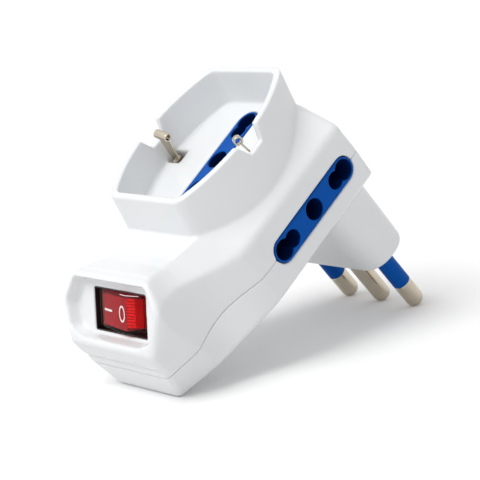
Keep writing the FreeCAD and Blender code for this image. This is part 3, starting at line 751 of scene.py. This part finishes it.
@dataclass
class SocketInserts:
    """The three blue inserts with their earth hole and double line holes."""

    half_w: float = 3.47
    half_l: float = 16.4
    gap: float = 0.22
    rim: float = 0.3
    hole_r: float = 2.7
    small_r: float = 2.3
    wide_pitch: float = 13.0
    narrow_pitch: float = 9.5
    block_half_w: float = 24.2
    parting_y: float = -32.2
    well_depth: float = 8.0
    side_depth: float = 9.2
    end_steps: int = 24
    earth_steps: int = 48
    wide_steps: int = 30
    narrow_steps: int = 26
    wall_slope: float = 0.3
    bore_margin: float = 0.05
    end_margin: float = 0.5

    def outline(self) -> Outline:
        """The stadium outline, drawn in by the gap to its seat.

        Returns:
            The loop.
        """
        r = self.half_w - self.gap
        rise = self.half_l - self.half_w
        return (arc(0, rise, r, 0, 180, self.end_steps)
                + arc(0, -rise, r, 180, 360, self.end_steps))

    def double_hole(self, side: int) -> Outline:
        """The outline of a thick pin's and a thin pin's hole run into one.

        Args:
            side: 1 above the earth hole, -1 below it.

        Returns:
            The loop.
        """
        wide, narrow = self.wide_pitch, self.narrow_pitch
        d = wide - narrow
        along = (d * d + self.hole_r ** 2 - self.small_r ** 2) / (2 * d)
        big = math.degrees(math.acos(along / self.hole_r))
        small = math.degrees(math.acos((d - along) / self.small_r))
        loop = arc(0, wide, self.hole_r, -90 + big, 270 - big, self.wide_steps)
        loop += arc(0, narrow, self.small_r, 90 + small, 450 - small, self.narrow_steps)
        return [(x, side * y) for x, y in loop]

    def seat(self, way: Way, place: Matrix) -> Matrix:
        """The frame of an insert: x across it, y along it and z out of its face.

        Args:
            way: which socket.
            place: the casing's frame.

        Returns:
            The matrix to the resting frame.
        """
        axes = {
            Way.FRONT: (Vector((1, 0, 0)), Vector((0, -1, 0)), (0.0, Casing.well_floor)),
            Way.RIGHT: (Vector((0, 1, 0)), Vector((1, 0, 0)), (self.block_half_w, self.parting_y)),
            Way.LEFT: (Vector((0, -1, 0)), Vector((-1, 0, 0)),
                       (-self.block_half_w, self.parting_y)),
        }
        across, out, (x, y) = axes[way]
        turn = Matrix((across, (0, 0, 1), out)).transposed().to_4x4()
        return place @ Matrix.Translation((x, y, Casing.well_z)) @ turn

    def paint_bore_shade(self, piece: bpy.types.Object, seat: Matrix, dark: bpy.types.Material
                     ) -> None:
        """Gives the walls of the holes a darker finish, painted shade, up to the rounded rims.

        Args:
            piece: an insert.
            seat: its frame.
            dark: the darker finish, which is painted shade.
        """
        piece.data.materials.append(dark)
        back = seat.inverted()
        for face in piece.data.polygons:
            middle = back @ face.center
            normal = (back.to_3x3() @ face.normal).normalized()
            inside = (abs(middle.x) < self.hole_r + self.bore_margin
                      and abs(middle.y) < self.half_l - self.end_margin
                      and middle.z < -self.rim)
            if inside and abs(normal.z) < self.wall_slope:
                face.material_index = 1

    def build(self, place: Matrix) -> list[bpy.types.Object]:
        """Builds and dresses the three inserts.

        Args:
            place: the casing's frame.

        Returns:
            The inserts.
        """
        # The darker blue on the holes' walls is painted shade.
        blue, dark = BLUE_NYLON.make(), BORE_SHADE_BLUE.make()
        step = 360 / self.earth_steps
        earth = arc(0, 0, self.hole_r, 0, 360 - step, self.earth_steps - 1)
        loops = [self.outline(), earth, self.double_hole(1), self.double_hole(-1)]
        nodes = {Way.FRONT: ("well_insert", self.well_depth),
                 Way.RIGHT: ("side_insert_right", self.side_depth),
                 Way.LEFT: ("side_insert_left", self.side_depth)}
        made = []
        for way, (node, depth) in nodes.items():
            seat = self.seat(way, place)
            mesh = moulded_plate(node, loops, -depth, 0.0, self.rim, seat)
            piece = link(node + "_moulding", mesh, blue, "casing")
            self.paint_bore_shade(piece, seat, dark)
            smooth(piece)
            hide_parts(node)
            made.append(piece)
        return made


@dataclass
class PlugPins:
    """Three round pins in a row, the outer two with insulating sleeves."""

    pitch: float = 13.0
    length: float = 19.0
    radius: float = 2.45
    root_r: float = 2.2
    neck_r: float = 1.9
    sleeve: float = 10.6
    wall: float = 4.0
    head: float = 2.9
    head_thick: float = 1.2
    head_edge: float = 0.2
    lip: float = 0.12
    seam: float = 0.05
    sleeve_round: float = 0.18
    sleeve_gap: float = 0.01
    dome_steps: int = 12

    def seat(self, x: float, place: Matrix) -> Matrix:
        """A pin's frame, with z along it to its tip."""
        return place @ Matrix.Translation((x, 0, 0)) @ Matrix.Rotation(-math.pi / 2, 4, "X")

    def pin_profile(self, sleeved: bool) -> Outline:
        """A pin's outline from its head inside the boss to its domed tip.

        Args:
            sleeved: true for the outer pins, whose neck is thinner under the sleeve.

        Returns:
            (radius, height) points.
        """
        w, r, back = self.wall, self.radius, -self.wall - self.head_thick
        points = [(0, back), (self.head - self.head_edge, back), (self.head, back + self.head_edge),
                  (self.head, -w)]
        if sleeved:
            points += [(self.neck_r, -w), (self.neck_r, self.sleeve), (r - self.lip, self.sleeve),
                       (r, self.sleeve + self.lip)]
        else:
            points += [(self.root_r, -w), (self.root_r, -self.seam),
                       (r - 2 * self.seam, -self.seam), (r, self.seam)]
        top = self.length - r
        turns = (math.pi / 2 * k / self.dome_steps for k in range(self.dome_steps))
        points += [(r * math.cos(a), top + r * math.sin(a)) for a in turns]
        return points + [(0, self.length)]

    def sleeve_profile(self) -> Outline:
        """A sleeve's closed outline, from the boss to its rounded end.

        Returns:
            (radius, height) points, the first one again at the end.
        """
        r, n, seam = self.radius, self.neck_r + self.sleeve_gap, self.seam
        end = self.sleeve - self.sleeve_gap
        return [(n, 0.0), (r - seam, 0.0), (r, seam), (r, self.sleeve - self.sleeve_round),
                (r - seam, end - seam), (r - self.sleeve_round, end), (n, end), (n, 0.0)]

    def build(self, place: Matrix) -> list[bpy.types.Object]:
        """Builds and dresses pins and sleeves.

        Args:
            place: the casing's frame.

        Returns:
            The five pieces.
        """
        nickel, blue = NICKEL.make(), BLUE_NYLON.make()
        made = []
        for node, x in (("line_pin", self.pitch), ("neutral_pin", -self.pitch), ("earth_pin", 0.0)):
            sleeved = x != 0.0
            mesh = turned(node, self.pin_profile(sleeved), self.seat(x, place))
            pin = link(node + "_turned", mesh, nickel, "casing")
            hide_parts(node)
            made.append(pin)
            if sleeved:
                mesh = turned(node + "_sleeve", self.sleeve_profile(), self.seat(x, place))
                tube = link(node + "_sleeve_tube", mesh, blue, "casing")
                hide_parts(node + "_sleeve")
                made.append(tube)
        for piece in made:
            smooth(piece)
        return made


@dataclass
class EarthClips:
    """Two spring clips in the well, joined by a strap behind the insert.

    Pairs of widths and facings are for the right clip and the left one.
    """

    width: float = 3.0
    leaf_width: tuple[float, float] = (3.0, 4.3)
    leaf_foot: tuple[float, float] = (18.5, -48.0)
    leaf_tip: tuple[float, float] = (15.8, -56.3)
    facing: tuple[float, float] = (24.0, -2.0)
    curl_r: float = 0.95
    curl: tuple[float, float] = (105.0, 425.0)
    curl_steps: int = 28
    flat_steps: int = 8
    lap: float = 0.6
    foot_share: float = 0.65
    thick: float = 0.5
    back_y: float = -40.2
    strap_x: tuple[float, ...] = (4.2, 11.0, 16.6)
    bend: tuple[tuple[float, float], ...] = ((18.0, -40.8), (18.4, -42.4), (18.4, -45.0))
    bend_steps: int = 6
    ring_r: float = 4.5
    hole_r: float = 3.0

    def line(self, side: int) -> list[Vector]:
        """A clip's foot: its middle line from the ring behind the insert to its leaf.

        Args:
            side: 1 for the right clip, -1 for the left.

        Returns:
            Points along the line.
        """
        points = [*((x, self.back_y) for x in self.strap_x), *self.bend, self.leaf_foot]
        return flowing([(side * x, y) for x, y in points], self.bend_steps)

    def leaf(self, side: int, name: str, place: Matrix) -> bpy.types.Mesh:
        """The leaf that leans into the well, twisted on its foot and curled at its tip.

        Args:
            side: 1 for the right clip, -1 for the left.
            name: the mesh's name.
            place: the casing's frame.

        Returns:
            The mesh in the resting frame.
        """
        foot = Vector((side * self.leaf_foot[0], self.leaf_foot[1], Casing.well_z))
        tip = Vector((side * self.leaf_tip[0], self.leaf_tip[1], Casing.well_z))
        down = (foot - tip).normalized()
        which = 0 if side > 0 else 1
        turn = math.radians(self.facing[which])
        wide = Vector((side * math.cos(turn), 0.0, -math.sin(turn)))
        wide = (wide - down * wide.dot(down)).normalized()
        seat = Matrix((down.cross(wide), down, wide)).transposed().to_4x4()
        length = (foot - tip).length + self.lap
        step = (length - self.curl_r) / self.flat_steps
        line = [Vector((0.0, length - k * step, 0.0)) for k in range(self.flat_steps + 1)]
        line += [Vector((x, y, 0.0))
                 for x, y in arc(0, 0, self.curl_r, *self.curl, self.curl_steps)]
        return bent_strip(name, line, self.leaf_width[which], self.thick, 0.0,
                          place @ Matrix.Translation(tip) @ seat, start=self.foot_share)

    def build(self, place: Matrix) -> list[bpy.types.Object]:
        """Builds and dresses both clips and the ring between them.

        Args:
            place: the casing's frame.

        Returns:
            The three pieces.
        """
        nickel = NICKEL.make()
        made = []
        for side, name in ((1, "earth_clip_right"), (-1, "earth_clip_left")):
            mesh = bent_strip(name + "_foot", self.line(side), self.width, self.thick,
                              Casing.well_z, place)
            made.append(link(name + "_foot", mesh, nickel, "casing"))
            mesh = self.leaf(side, name + "_leaf", place)
            made.append(link(name + "_leaf", mesh, nickel, "casing"))
        t = self.thick / 2
        ring = [(self.hole_r, -t), (self.ring_r, -t), (self.ring_r, t), (self.hole_r, t),
                (self.hole_r, -t)]
        seat = place @ Matrix.Translation((0, self.back_y, Casing.well_z))
        seat = seat @ Matrix.Rotation(-math.pi / 2, 4, "X")
        made.append(link("earth_clip_ring", turned("earth_clip_ring", ring, seat), nickel,
                         "casing"))
        for piece in made:
            smooth(piece)
        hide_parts("earth_bow")
        return made


@dataclass
class RockerSwitch:
    """The rocker: a clear red lens over a light guide, in a black case.

    Sizes ending in u lie across the switch, in t along its axle and in w out of its face. Those
    ending in under are depths below the lens's facets.
    """

    origin: tuple[float, float, float] = (0.0, -43.6, -57.25)
    face_slope: float = 47.6
    half_t: float = 4.85
    round_r: float = 10.75
    pivot_w: float = -3.5
    edge_w: float = -0.4
    ridge: tuple[float, float] = (4.1, 1.9)
    skirt: float = 4.5
    end_steps: int = 10
    lens_rim: float = 0.3
    core_rim: float = 0.2
    core_foot_w: float = -3.6
    window_u: float = -9.0
    window_gap: float = 0.1
    window_under: tuple[float, float] = (0.6, 0.45)
    window_t: tuple[float, float] = (-3.9, 4.1)
    guide_gap: float = 2.4
    guide_u: float = 8.5
    guide_under: tuple[float, float] = (0.9, 0.05)
    guide_t: tuple[float, float] = (-3.9, 3.1)
    smoke_u: tuple[float, float] = (-10.1, -9.15)
    smoke_under: tuple[float, float] = (0.8, 0.6)
    smoke_t: tuple[float, float] = (-4.5, 4.5)
    # The edge_u to edge_inset sizes place the pale strip that is a painted highlight.
    edge_u: tuple[float, float] = (-2.6, 8.0)
    edge_under: tuple[float, float] = (0.4, 0.03)
    edge_bend: float = 0.2
    edge_width: float = 0.19
    edge_thick: float = 0.14
    edge_inset: float = 0.12
    ribs: int = 10
    rib_pitch: float = 0.72
    rib_r: float = 0.3
    rib_length: float = 2.5
    rib_sides: int = 20
    rib_seat: tuple[float, float, float] = (1.3, 0.4, -1.05)
    bar_u: float = -5.6
    bar_half: tuple[float, float] = (2.1, 0.27)
    ring_u: float = 2.15
    ring_outer: tuple[float, float] = (1.6, 2.05)
    ring_inner: tuple[float, float] = (1.2, 1.6)
    ring_steps: int = 40
    ink_half: float = 0.05
    ink_rim: float = 0.02

    def frame_of(self, place: Matrix) -> Matrix:
        """The switch's own frame: u across, t up its face, w out of it."""
        turn = Matrix.Rotation(math.radians(90 + self.face_slope), 4, "X")
        return place @ Matrix.Translation(self.origin) @ turn

    def side_view(self, place: Matrix) -> Matrix:
        """A frame for outlines drawn in u and w, with z along the axle."""
        return self.frame_of(place) @ Matrix.Rotation(math.pi / 2, 4, "X")

    def lens_outline(self) -> Outline:
        """The rocker's outline across its axle: two facets, round ends and a flat foot.

        Returns:
            The loop in u and w.
        """
        r, w = self.round_r, self.pivot_w
        rise = math.degrees(math.asin((self.edge_w - w) / r))
        fall = math.degrees(math.asin((self.skirt + w) / r))
        right = arc(0, w, r, -fall, rise, self.end_steps)
        left = [(-x, y) for x, y in reversed(right)]
        return right + [self.ridge] + left

    def build_lens(self, place: Matrix) -> bpy.types.Object:
        """The clear outer lens, closed, with softly rounded edges.

        Args:
            place: the casing's frame.

        Returns:
            The piece.
        """
        mesh = moulded_plate("rocker_lens", [self.lens_outline()], -self.half_t, self.half_t,
                             self.lens_rim, self.side_view(place))
        piece = link("rocker_lens", mesh, RED_LENS.make(), "rocker")
        smooth(piece, angle=30.0)
        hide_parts("switch_rocker")
        return piece

    def build_cores(self, place: Matrix, red: bpy.types.Material) -> list[bpy.types.Object]:
        """What shows through the lens: a milky window, the light guide and a smoky end.

        Args:
            place: the casing's frame.
            red: the light guide's material.

        Returns:
            The three pieces.
        """
        (ru, rw), e, foot = self.ridge, self.edge_w, self.core_foot_w
        slope = (rw - e) / (self.round_r + ru)

        def block(u: tuple[float, float], w: tuple[float, float]) -> Outline:
            """A core's outline: its two ends and the height of its top at each."""
            return [(u[0], foot), (u[1], foot), (u[1], w[1]), (u[0], w[0])]

        window = block((self.window_u, ru - self.window_gap),
                       (e - self.window_under[1], rw - self.window_under[0]))
        guide = block((ru + self.guide_gap, self.guide_u),
                      (rw - self.guide_under[0] - 2 * slope, e - self.guide_under[1]))
        smoke = block(self.smoke_u, (e - self.smoke_under[0], e - self.smoke_under[1]))
        made = []
        # All three glow with painted light, so that they look lit through the lens.
        for name, loop, finish, reach in (
                ("rocker_window_left", window, PALE_CORE_PAINTED_GLOW.make(), self.window_t),
                ("rocker_guide_right", guide, red, self.guide_t),
                ("rocker_end_left", smoke, SMOKE_PAINTED_GLOW.make(), self.smoke_t)):
            mesh = moulded_plate(name, [loop], *reach, self.core_rim, self.side_view(place))
            piece = link(name, mesh, finish, "rocker")
            smooth(piece, angle=35.0)
            made.append(piece)
        return made

    def build_edge_highlight(self, place: Matrix) -> bpy.types.Object:
        """A painted highlight: a pale strip along the upper side of both facets.

        Args:
            place: the casing's frame.

        Returns:
            The piece.
        """
        (ru, rw), (start, end) = self.ridge, self.edge_u
        fall = (rw - self.edge_w) / (self.round_r - ru)
        top = rw - self.edge_under[1]
        line = [Vector((ru + start, rw - self.edge_under[0], 0)),
                Vector((ru - self.edge_bend, top, 0)), Vector((ru + self.edge_bend, top, 0)),
                Vector((end, rw - fall * (end - ru), 0))]
        mesh = bent_strip("rocker_edge_highlight", line, self.edge_width, self.edge_thick,
                          -self.half_t + self.edge_inset, self.side_view(place))
        piece = link("rocker_edge_highlight", mesh, PRINT_AND_HIGHLIGHT_WHITE.make(), "rocker")
        smooth(piece)
        return piece

    def rib_tree(self) -> bpy.types.NodeTree:
        """Nodes that lay round ribs side by side along t, with named sizes.

        Returns:
            The node group.
        """
        tree = bpy.data.node_groups.new("light guide ribs", "GeometryNodeTree")
        face = tree.interface
        face.new_socket("Geometry", in_out="OUTPUT", socket_type="NodeSocketGeometry")
        for name, kind in (("Count", "NodeSocketInt"), ("Pitch", "NodeSocketFloat"),
                           ("Radius", "NodeSocketFloat"), ("Length", "NodeSocketFloat"),
                           ("Sides", "NodeSocketInt"), ("Finish", "NodeSocketMaterial")):
            face.new_socket(name, in_out="INPUT", socket_type=kind)
        given = add_node(tree, "NodeGroupInput").outputs
        span = add_node(tree, "ShaderNodeMath", {0: given["Count"], 1: 1.0}, operation="SUBTRACT")
        reach = add_node(tree, "ShaderNodeMath", {0: span.outputs[0], 1: given["Pitch"]},
                         operation="MULTIPLY")
        half = add_node(tree, "ShaderNodeMath", {0: reach.outputs[0], 1: -0.5},
                        operation="MULTIPLY")
        start = add_node(tree, "ShaderNodeCombineXYZ", {"Y": half.outputs[0]})
        step = add_node(tree, "ShaderNodeCombineXYZ", {"Y": given["Pitch"]})
        rows = add_node(tree, "GeometryNodeMeshLine", {
            "Count": given["Count"], "Start Location": start.outputs[0],
            "Offset": step.outputs[0]}, mode="OFFSET")
        rib = add_node(tree, "GeometryNodeMeshCylinder", {
            "Vertices": given["Sides"], "Radius": given["Radius"], "Depth": given["Length"]})
        lie = add_node(tree, "GeometryNodeTransform", {
            "Geometry": rib.outputs["Mesh"], "Rotation": (0.0, math.pi / 2, 0.0)})
        laid = add_node(tree, "GeometryNodeInstanceOnPoints", {
            "Points": rows.outputs["Mesh"], "Instance": lie.outputs["Geometry"]})
        real = add_node(tree, "GeometryNodeRealizeInstances",
                        {"Geometry": laid.outputs["Instances"]})
        done = add_node(tree, "GeometryNodeSetMaterial",
                        {"Geometry": real.outputs["Geometry"], "Material": given["Finish"]})
        add_node(tree, "NodeGroupOutput", {"Geometry": done.outputs["Geometry"]})
        return tree

    def build_ribs(self, place: Matrix, red: bpy.types.Material) -> bpy.types.Object:
        """The ribs under the short facet, whose glow is painted light.

        Args:
            place: the casing's frame.
            red: their material.

        Returns:
            The piece.
        """
        tree = self.rib_tree()
        maker = bpy.data.objects.new("ribs_maker", bpy.data.meshes.new("ribs_maker"))
        bpy.context.collection.objects.link(maker)
        modifier = maker.modifiers.new("ribs", "NODES")
        modifier.node_group = tree
        sizes = {"Count": self.ribs, "Pitch": self.rib_pitch, "Radius": self.rib_r,
                 "Length": self.rib_length, "Sides": self.rib_sides, "Finish": red}
        for item in tree.interface.items_tree:
            if item.in_out == "INPUT":
                modifier[item.identifier] = sizes[item.name]
        mesh = plain_copy(maker)
        (ru, rw), (u, t, w) = self.ridge, self.rib_seat
        tilt = math.atan2(rw - self.edge_w, self.round_r - ru)
        seat = Matrix.Translation((ru + u, t, rw + w)) @ Matrix.Rotation(tilt, 4, "Y")
        mesh.transform(self.frame_of(place) @ seat)
        piece = link("rocker_guide_ribs", mesh, red, "rocker")
        smooth(piece, angle=50.0)
        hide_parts("rocker_diffuser")
        return piece

    def build_marks(self, place: Matrix) -> list[bpy.types.Object]:
        """The generic on and off marks: a bar and a ring printed on the long facet.

        Args:
            place: the casing's frame.

        Returns:
            The two marks.
        """
        (ru, rw), e = self.ridge, self.edge_w
        end = math.sqrt(self.round_r ** 2 - (e - self.pivot_w) ** 2)
        tilt = -math.atan2(rw - e, ru + end)
        ink = PRINT_AND_HIGHLIGHT_WHITE.make()
        u, t = self.bar_half
        bar = [(-u, -t), (u, -t), (u, t), (-u, t)]
        ring = [self.oval(*self.ring_outer), self.oval(*self.ring_inner)]
        made = []
        for name, at, loops in (("on_mark", self.bar_u, [bar]), ("off_mark", self.ring_u, ring)):
            level = rw + (at - ru) * (rw - e) / (ru + end)
            seat = Matrix.Translation((at, 0.0, level)) @ Matrix.Rotation(tilt, 4, "Y")
            mesh = moulded_plate(name, loops, -self.ink_half, self.ink_half, self.ink_rim,
                                 self.frame_of(place) @ seat)
            piece = link(name, mesh, ink, "rocker")
            smooth(piece)
            made.append(piece)
        return made

    def oval(self, across: float, along: float) -> Outline:
        """An oval loop of the given half sizes."""
        turns = (2 * math.pi * k / self.ring_steps for k in range(self.ring_steps))
        return [(across * math.cos(a), along * math.sin(a)) for a in turns]

    def build(self, place: Matrix) -> list[bpy.types.Object]:
        """Builds and dresses the switch's moving pieces and its case.

        Args:
            place: the casing's frame.

        Returns:
            The case and the new pieces.
        """
        made = [dress("switch_housing", BLACK_PBT.make()), self.build_lens(place)]
        made += self.build_cores(place, RED_CORE_PAINTED_GLOW.make())
        made += [self.build_ribs(place, RIB_RED_PAINTED_GLOW.make()), self.build_edge_highlight(place)]
        return made + self.build_marks(place)


@dataclass
class InnerParts:
    """The strips, lever, blades and lamp inside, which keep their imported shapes."""

    brass: tuple[str, ...] = (
        "earth_bar", "line_bar", "neutral_bar", "line_link_in", "line_link_out", "neutral_link",
        "earth_link", "contact_lever", "feed_terminal", "switched_terminal")

    def build(self) -> list[bpy.types.Object]:
        """Gives the inner pieces their finishes.

        Returns:
            The pieces.
        """
        strip = STRIP_BRASS.make()
        made = [dress(node, strip) for node in self.brass]
        return made + [dress("neon_lamp", LAMP_GLASS.make()),
                       dress("lamp_resistor", RESISTOR_LACQUER.make())]


@dataclass
class Studio:
    """Pale paper, a soft key light, an even sky and the camera at the photograph's angle.

    The eye and the camera's axes are in the casing's frame, the key's direction in the resting
    one. Its width, an angle in radians, is what softens the shadow's edge.
    """

    image_px: int = 480
    focal_px: float = 1893.0
    eye: tuple[float, float, float] = (378.08, -267.49, -188.82)
    right: tuple[float, float, float] = (0.605, 0.567, 0.558)
    down: tuple[float, float, float] = (0.080, 0.655, -0.752)
    sensor_mm: float = 36.0
    sky: float = 0.57
    key_from: tuple[float, float, float] = (-0.04, -0.56, 0.83)
    key_strength: float = 1.78
    key_width: float = 0.6
    clip_m: tuple[float, float] = (0.01, 10.0)
    paper_half_m: float = 1.5
    paper_cells: int = 8

    def camera(self, place: Matrix) -> None:
        """Makes the camera.

        Args:
            place: the casing's frame, in which the photograph was measured.
        """
        spin = place.to_3x3().normalized()
        right = (spin @ Vector(self.right)).normalized()
        up = -(spin @ Vector(self.down))
        up = (up - right * up.dot(right)).normalized()
        back = right.cross(up)
        data = bpy.data.cameras.new("photo_camera")
        data.sensor_width = self.sensor_mm
        data.lens = self.focal_px / self.image_px * self.sensor_mm
        data.clip_start, data.clip_end = self.clip_m
        camera = bpy.data.objects.new("photo_camera", data)
        bpy.context.collection.objects.link(camera)
        turn = Matrix((right, up, back)).transposed().to_4x4()
        camera.matrix_world = Matrix.Translation(place @ Vector(self.eye)) @ turn
        bpy.context.scene.camera = camera

    def floor(self) -> None:
        """Lays the paper on the plane that the object rests on."""
        shape = bmesh.new()
        bmesh.ops.create_grid(shape, x_segments=self.paper_cells, y_segments=self.paper_cells,
                              size=self.paper_half_m)
        mesh = bpy.data.meshes.new("paper_floor")
        shape.to_mesh(mesh)
        shape.free()
        paper = bpy.data.objects.new("paper_floor", mesh)
        mesh.materials.append(PAPER.make())
        bpy.context.collection.objects.link(paper)

    def light(self) -> None:
        """Hangs the broad key light and sets the sky, white to the camera and to mirrors."""
        data = bpy.data.lights.new("key_light", "SUN")
        data.angle = self.key_width
        data.energy = self.key_strength
        lamp = bpy.data.objects.new("key_light", data)
        lamp.rotation_euler = (-Vector(self.key_from)).to_track_quat("-Z", "Y").to_euler()
        bpy.context.collection.objects.link(lamp)
        world = bpy.data.worlds.new("studio_sky")
        bpy.context.scene.world = world
        world.use_nodes = True
        tree = world.node_tree
        tree.nodes.clear()
        strength = add_node(tree, "ShaderNodeMapRange",
                            {"Value": shown_rays(tree), "To Min": self.sky, "To Max": 1.0})
        sky = add_node(tree, "ShaderNodeBackground",
                       {"Color": WHITE, "Strength": strength.outputs["Result"]})
        add_node(tree, "ShaderNodeOutputWorld", {"Surface": sky.outputs["Background"]})

    def build(self, place: Matrix) -> None:
        """Builds the whole studio.

        Args:
            place: the casing's frame.
        """
        bpy.context.scene.view_settings.view_transform = "Standard"
        self.camera(place)
        self.floor()
        self.light()


def report(part: object, pieces: list[bpy.types.Object]) -> None:
    """Logs each piece of a sub-assembly.

    Args:
        part: the sub-assembly.
        pieces: its pieces.
    """
    for piece in pieces:
        log.info("%s: %s, %d faces", type(part).__name__, piece.name, len(piece.data.polygons))


def main() -> None:
    """Builds the adapter's pieces in order."""
    logging.basicConfig(level=logging.INFO, format="%(message)s")
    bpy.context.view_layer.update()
    place = casing_place()
    Studio().build(place)
    for part in (Casing(), SocketInserts(), PlugPins(), EarthClips(), RockerSwitch()):
        report(part, part.build(place))
    inner = InnerParts()
    report(inner, inner.build())


if __name__ == "__main__":
    main()
